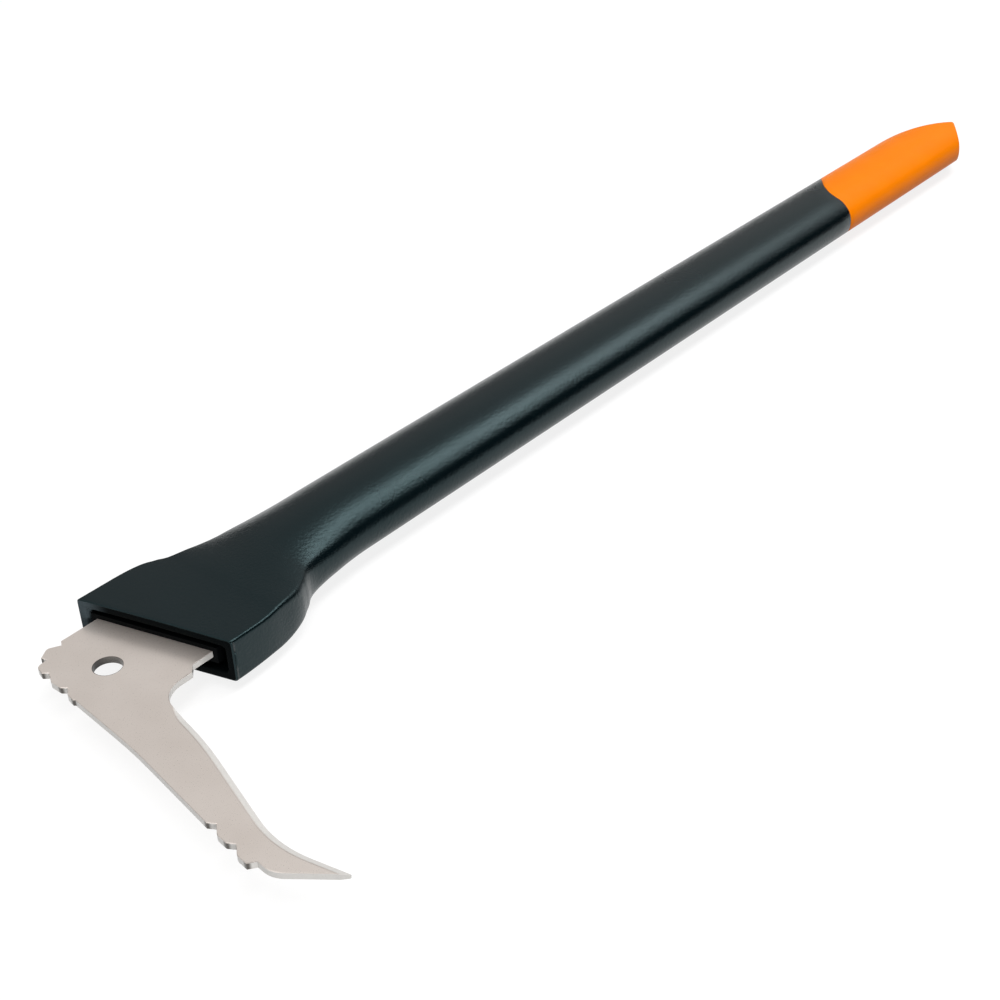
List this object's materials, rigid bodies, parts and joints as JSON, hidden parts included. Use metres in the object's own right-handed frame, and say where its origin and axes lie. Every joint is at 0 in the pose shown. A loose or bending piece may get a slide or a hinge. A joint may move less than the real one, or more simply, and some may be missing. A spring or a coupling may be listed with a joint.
{
  "type": "pickaroon",
  "caption": "Pickaroon: a flat, toothed steel hook blade held in the flared head of a long black oval handle with an orange grip end.",
  "frame": {"origin": "middle of the round hanging hole in the blade, half-way through the plate", "axes": "+X along the handle, from the hole towards the grip end; +Y towards the tool's back, away from the spike's point; +Z along the hole, square to the plate"},
  "size_m": [0.6315, 0.1582, 0.0256],
  "materials": {
    "blade_steel": "satin",
    "handle_plastic": "satin",
    "core_plastic": "matte",
    "grip_plastic": "satin"
  },
  "bodies": {
    "root": {"hook_blade": "blade_steel", "handle_shell": "handle_plastic", "tang_core": "core_plastic", "grip_end": "grip_plastic"}
  },
  "joints": []
}
